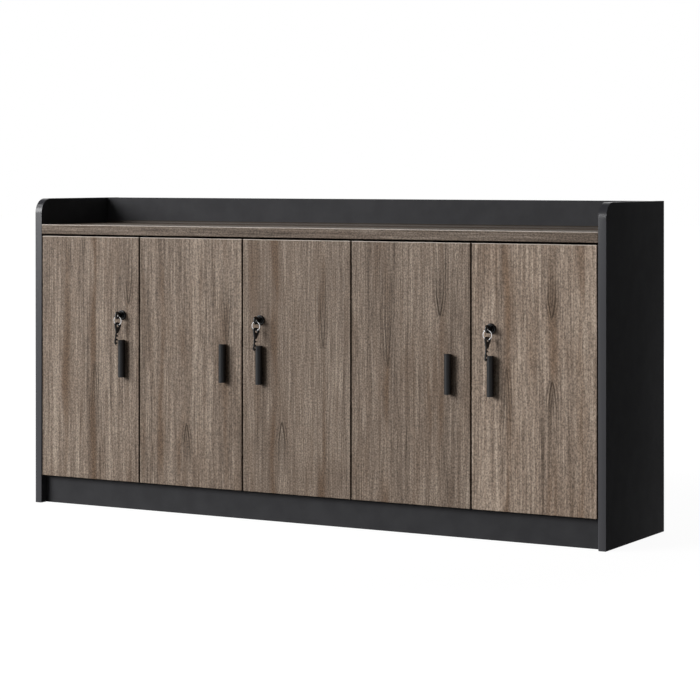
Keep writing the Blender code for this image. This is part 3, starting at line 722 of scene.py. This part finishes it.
def end_panel(low, high, corner, easing):
    """An upright board with a round top front corner.

    Its faces take the first finish, its edges the second, and the rims of its left face the third,
    a lighter grey that is a painted highlight where they face the light.
    """
    outline = [(high.y, low.z), (high.y, high.z),
               *arc((low.y + corner, high.z - corner), corner, 90, 180, 24), (low.y, low.z)]
    bm = prism(outline, low.x, high.x)
    ease_ends(bm, easing)
    bm.normal_update()
    for face in bm.faces:
        lean = face.normal.z
        if lean > 0.5 or lean < -0.99:
            face.material_index = 0
        # Rims that face left, towards the key light, take the painted highlight
        elif lean < -0.2:
            face.material_index = 2
        else:
            face.material_index = 1
    bm.transform(SIDEWAYS)
    return bm


def joint_strip():
    """A slim round strip in the corner between the top board and the upstand: its dark brown is painted
    shade.
    """
    depth = 0.005
    height = 0.0062
    end_gap = 0.0005
    low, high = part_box("top_board")
    corner = (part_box("back_upstand")[0].y, high.z)
    outline = [corner, *arc(corner, (-depth, height), 0, 90, 8)]
    bm = prism(outline, low.x + end_gap, high.x - end_gap)
    bm.transform(SIDEWAYS)
    return bm


class CABINET_OT_doors(bpy.types.Operator):
    """Give the doors and the top board their wood-grain laminate"""
    bl_idname = "filing_cabinet.doors"
    bl_label = "Dress doors and top"

    def execute(self, context):
        laminate = context.scene.filing_cabinet.laminate
        for seed, node_name in enumerate(FIGURES, start=1):
            dress(node_name, wood_laminate(node_name, laminate, PRINT_STEP * seed))
        return {"FINISHED"}


class CABINET_OT_handles(bpy.types.Operator):
    """Make the round bar handles with their webs and fixing screws"""
    bl_idname = "filing_cabinet.handles"
    bl_label = "Make handles"

    def execute(self, context):
        fitting = context.scene.filing_cabinet.fitting
        screw_rises = (-0.032, 0.032)
        for number in DOORS:
            label = "_" + str(number)
            low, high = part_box("handle" + label)
            bar = handle_bar(low, high, fitting.handle_edge)
            make_piece("bar_handle" + label, bar, "powder_coated_aluminium", "door" + label, "black_metal",
                       "handle" + label)
            middle = (low + high) / 2
            places = [((middle.x, DOOR_BACK, middle.z + rise), FACING_BACK) for rise in screw_rises]
            make_steel_piece("handle_screws" + label, repeated(screw(*HANDLE_SCREW), places), "door" + label)
        return {"FINISHED"}


def handle_bar(low, high, edge):
    """A round bar on a web with small fillets, swept upright between two corners."""
    radius = (high.x - low.x) / 2
    web = radius * 0.40
    fillet = 0.0012
    centre = low.y + radius
    middle = (low.x + high.x) / 2
    join = math.acos((web + fillet) / (radius + fillet))
    turn = math.degrees(join)
    foot = (web + fillet, centre + (radius + fillet) * math.sin(join))
    # Half of the outline, from the web's foot over the fillet to the bar's front
    half = [(web, high.y), *arc(foot, fillet, 180, 180 + turn, 4),
            *arc((0.0, centre), radius, turn, -90, 20)[1:]]
    outline = half + [(-x, y) for x, y in reversed(half[:-1])]
    bm = prism([(middle + x, y) for x, y in outline], low.z, high.z)
    ease_ends(bm, edge)
    return bm


class CABINET_OT_locks(bpy.types.Operator):
    """Make the lock heads, barrels, nuts, plugs and cam screws"""
    bl_idname = "filing_cabinet.locks"
    bl_label = "Make locks"

    def execute(self, context):
        fitting = context.scene.filing_cabinet.fitting
        # From the plug's end over the cam to the screw's seat
        cam_room = 0.0023
        for number in LOCKED_DOORS:
            label = "_" + str(number)
            centre = lock_centre(number)
            out = Matrix.Translation(centre) @ FACING_OUT
            housing = lock_housing("lock_housing" + label, "lock_plug" + label)
            make_piece("lock_head" + label, housing, "black_enamelled_zinc", "door" + label,
                       "black_lock_metal", "lock_housing" + label, place=out)
            make_steel_piece("lock_nut" + label, lock_nut(), "door" + label, out)
            plug = lock_plug("lock_plug" + label, fitting)
            make_piece("lock_cylinder" + label, plug, "black_enamelled_zinc", "lock" + label,
                       "black_lock_metal", "lock_plug" + label, place=out)
            dress("lock_cam" + label, finish("nickel_plated_steel"))
            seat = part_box("lock_plug" + label)[1].y + cam_room
            behind = Matrix.Translation((centre.x, seat, centre.z)) @ FACING_BACK
            make_steel_piece("cam_screw" + label, screw(*CAM_SCREW), "lock" + label, behind)
        return {"FINISHED"}


def lock_reach(node_name):
    """The radius of a lock's turned piece, and its front and back ends from the door's face."""
    low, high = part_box(node_name)
    return (high.x - low.x) / 2, DOOR_FACE - low.y, DOOR_FACE - high.y


def lock_housing(housing_node, plug_node):
    """A turned head with a soft rim and a groove, on a barrel that is threaded behind the door."""
    head, front, back = lock_reach(housing_node)
    bore = lock_reach(plug_node)[0] + LOCK_PLAY
    barrel = 0.0095
    core = barrel - 0.0008
    turns = 7
    thread_start = back + 0.0006
    thread_end = DOOR_FACE - DOOR_BACK
    flank = 0.0007
    profile = [(bore, back), (core, back)]
    for turn in range(turns):
        start = thread_start + (thread_end - thread_start) * turn / turns
        profile += [(core, start), (barrel, start + flank)]
    # The head's seat is sunk a little into the door, so that no light shows under it
    seat = -0.0003
    rim = 0.0018
    profile += [(barrel, seat), (head, seat), *arc((head - rim, front - rim), rim, 0, 90, 6)]
    groove = bore + 0.0014
    floor = front - 0.0005
    profile += [(groove + 0.0004, front), (groove, floor), (groove - 0.0006, floor),
                (groove - 0.0009, front), (bore + 0.0002, front), (bore, front - 0.0003), (bore, back)]
    bm = turned(profile, 56)
    bmesh.ops.remove_doubles(bm, verts=bm.verts, dist=1e-7)
    return bm


def lock_nut():
    """The thin hexagon nut that holds a barrel from behind the door."""
    corner_radius = 0.0125
    hole_radius = 0.0096
    thickness = 0.0036
    hole = circle(hole_radius, sides=40)[::-1]
    bm = plate((circle(corner_radius, sides=6), hole), thickness, 0.0004)
    bm.transform(Matrix.Translation((0, 0, DOOR_FACE - DOOR_BACK - thickness / 2)))
    return bm


def lock_plug(plug_node, fitting):
    """A turned plug with a chamfered face and a keyway."""
    radius, front, back = lock_reach(plug_node)
    chamfer = 0.0005
    floor = 0.002
    bm = turned(((0.0, back), (radius, back), (radius, front - chamfer), (radius - chamfer, front),
                 (0.0, front)))
    wide = fitting.blade_thickness / 2 + LOCK_PLAY
    tall = fitting.blade_width / 2 + LOCK_PLAY
    slot = bmesh.new()
    bmesh.ops.create_cube(slot, size=1.0)
    bmesh.ops.scale(slot, vec=(2 * wide, 2 * tall, 2 * (front - back - floor)), verts=slot.verts)
    bmesh.ops.translate(slot, vec=(0, 0, front), verts=slot.verts)
    return combined(bm, slot, "DIFFERENCE")


class CABINET_OT_keys(bpy.types.Operator):
    """Make the keys in the locks, the key rings and the spare keys on them"""
    bl_idname = "filing_cabinet.keys"
    bl_label = "Make keys and rings"

    def execute(self, context):
        fitting = context.scene.filing_cabinet.fitting
        for number in LOCKED_DOORS:
            label = "_" + str(number)
            centre = lock_centre(number)
            low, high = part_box("key" + label)
            length = high.y - low.y
            in_lock = Matrix.Translation((centre.x, low.y, centre.z)) @ SIDEWAYS
            make_piece("lock_key" + label, key_shape(fitting, length), "moulded_black_abs", "lock" + label,
                       "black_key_plastic", "key" + label, place=in_lock)

            ring_place = JOINT_PLACES["key_ring" + label + "_swing"]
            spare_place = JOINT_PLACES["spare_key" + label + "_swing"]
            lean = math.atan2(spare_place.y - ring_place.y, ring_place.z - spare_place.z)
            on_key = Matrix.Translation(ring_place) @ Matrix.Rotation(lean, 4, "X")
            ring = split_ring(fitting.ring_radius, fitting.ring_wire)
            make_piece("split_ring" + label, ring, "chromed_spring_wire", "key_ring" + label,
                       "ring_chrome", "key_ring" + label, place=on_key)

            on_ring = (Matrix.Translation(spare_place) @ Matrix.Rotation(-SPARE_LEAN, 4, "X")
                       @ Matrix.Rotation(-SPARE_TURN, 4, "Z") @ Matrix.Translation((0, 0, SPARE_TOP))
                       @ HANGING)
            make_piece("hanging_key" + label, key_shape(fitting, length), "moulded_black_abs",
                       "spare_key" + label, "black_key_plastic", "spare_key" + label, place=on_ring)
        return {"FINISHED"}


def key_shape(fitting, length):
    """A key drawn along its local X from the bow's end: a moulded bow, and a blade with its cuts."""
    corner = 0.008
    hole_place = (0.009, 0.0)
    shoulder = fitting.bow_shoulder / 2
    middle = fitting.bow_width / 2 - corner
    outline = [(fitting.bow_length, -shoulder), (fitting.bow_length, shoulder),
               *arc((corner, middle), corner, 90, 180, 12), *arc((corner, -middle), corner, 180, 270, 12)]
    hole = circle(fitting.bow_hole, hole_place, 28)[::-1]
    bow = plate((outline, hole), fitting.bow_thickness, 0.0005)
    blade = plate((blade_outline(fitting, length),), fitting.blade_thickness, 0.0002)
    return combined(bow, blade, "UNION")


def blade_outline(fitting, length):
    """A blade with a straight back, three cuts and a pointed tip, from inside the bow to its end."""
    half = fitting.blade_width / 2
    depth = fitting.cut_depth
    start = fitting.bow_length - 0.008
    first_cut = fitting.bow_length + 0.003
    pitch = 0.0095
    cut_shape = ((0.0, 0.0), (0.0012, depth), (0.0048, depth), (0.006, 0.0))
    points = [(start, half), (start, -half)]
    for cut in range(3):
        points += [(first_cut + pitch * cut + along, rise - half) for along, rise in cut_shape]
    points += [(length - half, -half), (length, 0.0), (length - half, half)]
    return points


def split_ring(radius, wire):
    """A flat wire wound twice, hanging from its local origin; a short slope takes it to its second turn."""
    steps = 60
    # The wire starts past the top, ends a little short of two turns, and crosses over between these steps
    first = 8
    short = 3
    slope_start = steps - 6
    slope_steps = 10
    # Each coil fills a little less than its half of the thickness; a power under 1 squares its section
    across = wire / 2 * 0.94
    flat = wire / 4 * 0.92
    power = 0.7
    section = []
    for x, y in circle(1.0, sides=10):
        out = across * math.copysign(abs(x) ** power, x)
        section.append((out, flat * math.copysign(abs(y) ** power, y)))
    bm = bmesh.new()
    rings = []
    for step in range(2 * steps - short):
        turn = math.tau * (step + first) / steps
        share = min(1.0, max(0.0, (step - slope_start) / slope_steps))
        shift = wire / 4 * (2 * (share * share * (3 - 2 * share)) - 1)
        ring = []
        for out, side in section:
            reach = radius + out
            place = (reach * math.sin(turn), shift + side, reach * math.cos(turn) - radius)
            ring.append(bm.verts.new(place))
        rings.append(ring)
    bm.faces.new(rings[0])
    bm.faces.new(rings[-1])
    join_rings(bm, rings)
    return bm


class CABINET_OT_hinges(bpy.types.Operator):
    """Plate the hinge cups and arms, and add their screws"""
    bl_idname = "filing_cabinet.hinges"
    bl_label = "Dress hinges"

    def execute(self, context):
        for number in DOORS:
            label = "_" + str(number)
            for level in ("lower", "upper"):
                for part in ("_hinge_cup", "_hinge_arm"):
                    dress(level + part + label, finish("nickel_plated_steel"))
                places = hinge_screw_places(level + "_hinge_arm" + label, "door" + label + "_hinge")
                make_steel_piece(level + "_hinge_screws" + label, repeated(screw(*HINGE_SCREW), places),
                                 "carcass")
        return {"FINISHED"}


def hinge_screw_places(arm_node, joint_name):
    """Two screws in a hinge's plate, above and below its arm, facing away from the wall."""
    plate_thickness = 0.003
    from_back = 0.018
    screw_rises = (-0.0115, 0.0115)
    low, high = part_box(arm_node)
    pin = JOINT_PLACES[joint_name].x
    on_left = abs(low.x - pin) < abs(high.x - pin)
    face = low.x + plate_thickness if on_left else high.x - plate_thickness
    turn = Matrix.Rotation(math.radians(90 if on_left else -90), 4, "Y")
    middle = (low.z + high.z) / 2
    return [((face, high.y - from_back, middle + rise), turn) for rise in screw_rises]


class CABINET_OT_fixings(bpy.types.Operator):
    """Add the shelf pins, and the screws of the back panel and the upstand"""
    bl_idname = "filing_cabinet.fixings"
    bl_label = "Add small fixings"

    def execute(self, context):
        pin_inset = 0.045
        pin_drop = 0.0028
        screw_inset = 0.03
        columns = 7
        for node_name in SHELVES:
            low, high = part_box(node_name)
            depths = (low.y + pin_inset, high.y - pin_inset)
            places = []
            for wall, angle in ((low.x, 90), (high.x, -90)):
                turn = Matrix.Rotation(math.radians(angle), 4, "Y")
                places += [((wall, y, low.z - pin_drop), turn) for y in depths]
            make_steel_piece(node_name + "_pins", repeated(shelf_pin(), places), "carcass")
        # Rows of screws, as shares of the board's height
        for node_name, rows in (("back_panel", (0.03, 0.97)), ("back_upstand", (0.5,))):
            low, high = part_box(node_name)
            pitch = (high.x - low.x - 2 * screw_inset) / (columns - 1)
            places = []
            for share in rows:
                for column in range(columns):
                    place = (low.x + screw_inset + pitch * column, high.y, low.z + (high.z - low.z) * share)
                    places.append((place, FACING_BACK))
            make_steel_piece(node_name + "_screws", repeated(screw(*BACK_SCREW), places), "carcass")
        return {"FINISHED"}


def shelf_pin():
    """A shelf pin that stands out of a wall along its local Z: a collar and a round stud."""
    return turned(((0.0, 0.0), (0.0038, 0.0), (0.0038, 0.0012), (0.0034, 0.0016), (0.0025, 0.0018),
                   (0.0025, 0.0086), (0.0021, 0.0092), (0.0, 0.0092)), 24)


class CABINET_OT_stage(bpy.types.Operator):
    """Make the floor, the white surroundings, the lights and the camera"""
    bl_idname = "filing_cabinet.stage"
    bl_label = "Make stage"

    def execute(self, context):
        scene = context.scene
        stage = scene.filing_cabinet.stage
        scene.view_settings.view_transform = "Standard"
        make_floor(stage)
        make_world(scene, stage)
        aim_height = 0.42
        front = Vector((0.0, DOOR_FACE, aim_height))
        back = Vector((0.0, CAD_BOX[1][1], aim_height))
        soft_light("key_softbox", (-5.2, -6.2, 3.1), front, (4.8, 3.9), stage.key_power)
        soft_light("top_strip", (-2.6, -1.7, 3.0), front, (1.6, 0.6), stage.strip_power)
        soft_light("front_fill", (-0.4, -5.0, 1.4), front, (2.6, 2.0), stage.fill_power)
        behind = soft_light("back_fill", (-1.2, 5.0, 2.0), back, (3.0, 2.2), stage.back_power)
        # Kept out of reflections, where it would draw a white line along the end panels' top edges
        behind.visible_glossy = False
        lens = bpy.data.cameras.new("photo_camera")
        lens.sensor_width = 36.0
        lens.lens = stage.lens
        lens.shift_y = -stage.drop
        camera = bpy.data.objects.new("photo_camera", lens)
        camera.location = stage.camera_place
        camera.rotation_euler = (math.radians(90), 0.0, stage.camera_heading)
        scene.collection.objects.link(camera)
        scene.camera = camera
        return {"FINISHED"}


def soft_light(name, place, target, size, power):
    """A rectangular softbox that looks at a point."""
    light = bpy.data.lights.new(name, "AREA")
    light.shape = "RECTANGLE"
    light.size, light.size_y = size
    light.energy = power
    lamp = bpy.data.objects.new(name, light)
    lamp.location = place
    lamp.rotation_euler = (target - lamp.location).to_track_quat("-Z", "Y").to_euler()
    bpy.context.scene.collection.objects.link(lamp)
    return lamp


def make_floor(stage):
    """A wide floor of rolled paint: white to the eye and in reflections, with the cabinet's soft shadow."""
    half_width = 30.0
    below_feet = 0.0005
    bm = bmesh.new()
    bmesh.ops.create_grid(bm, x_segments=1, y_segments=1, size=half_width)
    floor = mesh_object("floor", bm)
    floor.location.z = -below_feet
    material, add, shader = start_material("painted_floor", 0.9, specular=0.0)
    # The roller leaves faint clouds, about a metre across. The white is glow, and the paint itself gives
    # back an eighth of the light: enough for a shadow to show
    clouds = add("TexNoise", {"Scale": 2 * half_width, "Detail": 2.0})
    ramp = add("ValToRGB", (clouds,))
    set_ramp(ramp, ((0.3, scaled(stage.floor, 0.115)), (0.7, scaled(stage.floor, 0.125))))
    path = add("LightPath")
    seen = add("Math", (path.outputs["Is Camera Ray"], path.outputs["Is Glossy Ray"]), "MAXIMUM")
    seen = add("Math", (seen, path.outputs["Is Transmission Ray"]), "MAXIMUM")
    # Away from the cabinet the floor runs into the white background
    coordinates = add("TexCoord")
    distance = add("VectorMath", (coordinates.outputs["Object"],), "LENGTH")
    bright = add("MapRange", (distance.outputs["Value"], 1.0, 2.6, 0.95, 1.0))
    glow = add("Math", (seen, bright), "MULTIPLY")
    fill_inputs(shader, {"Base Color": ramp, "Emission Color": WHITE, "Emission Strength": glow})
    floor.data.materials.append(material)


def make_world(scene, stage):
    """White where the camera looks, a white backdrop in reflections, and a low light from all round."""
    world = bpy.data.worlds.new("studio")
    world.use_nodes = True
    add = partial(add_node, world.node_tree)
    path = add("LightPath")
    seen = add("Math", (path.outputs["Is Camera Ray"], path.outputs["Is Transmission Ray"]), "MAXIMUM")
    # Reflections see the backdrop behind the cabinet, and a dim room on the other sides
    backdrop_way = (-0.50, 0.87, 0.0)
    coordinates = add("TexCoord")
    behind = add("VectorMath", (coordinates.outputs["Generated"], backdrop_way), "DOT_PRODUCT")
    backdrop = add("MapRange", (behind.outputs["Value"], 0.60, 0.90, 0.03, 1.0))
    mirrored = add("Math", (path.outputs["Is Glossy Ray"], backdrop), "MULTIPLY")
    white = add("Math", (seen, mirrored), "MAXIMUM")
    strength = add("Math", (white, stage.ambient), "MAXIMUM")
    background = world.node_tree.nodes["Background"]
    fill_inputs(background, {"Color": WHITE, "Strength": strength})
    scene.world = world


OPERATORS = (CABINET_OT_boards, CABINET_OT_doors, CABINET_OT_handles, CABINET_OT_locks, CABINET_OT_keys,
             CABINET_OT_hinges, CABINET_OT_fixings, CABINET_OT_stage)


class CABINET_PT_panel(bpy.types.Panel):
    """Lists the cabinet's pieces in the sidebar"""
    bl_idname = "CABINET_PT_panel"
    bl_label = "Low filing cabinet"
    bl_space_type = "VIEW_3D"
    bl_region_type = "UI"
    bl_category = "Cabinet"

    def draw(self, context):
        for operator in OPERATORS:
            self.layout.operator(operator.bl_idname)


CLASSES = (LaminateSettings, BoardSettings, FittingSettings, StageSettings, CabinetSettings, *OPERATORS,
           CABINET_PT_panel)


def register():
    for item in CLASSES:
        bpy.utils.register_class(item)
    bpy.types.Scene.filing_cabinet = PointerProperty(type=CabinetSettings)


def unregister():
    del bpy.types.Scene.filing_cabinet
    for item in reversed(CLASSES):
        bpy.utils.unregister_class(item)


def main():
    register()
    bpy.ops.filing_cabinet.boards()
    bpy.ops.filing_cabinet.doors()
    bpy.ops.filing_cabinet.handles()
    bpy.ops.filing_cabinet.locks()
    bpy.ops.filing_cabinet.keys()
    bpy.ops.filing_cabinet.hinges()
    bpy.ops.filing_cabinet.fixings()
    bpy.ops.filing_cabinet.stage()


if __name__ == "__main__":
    main()
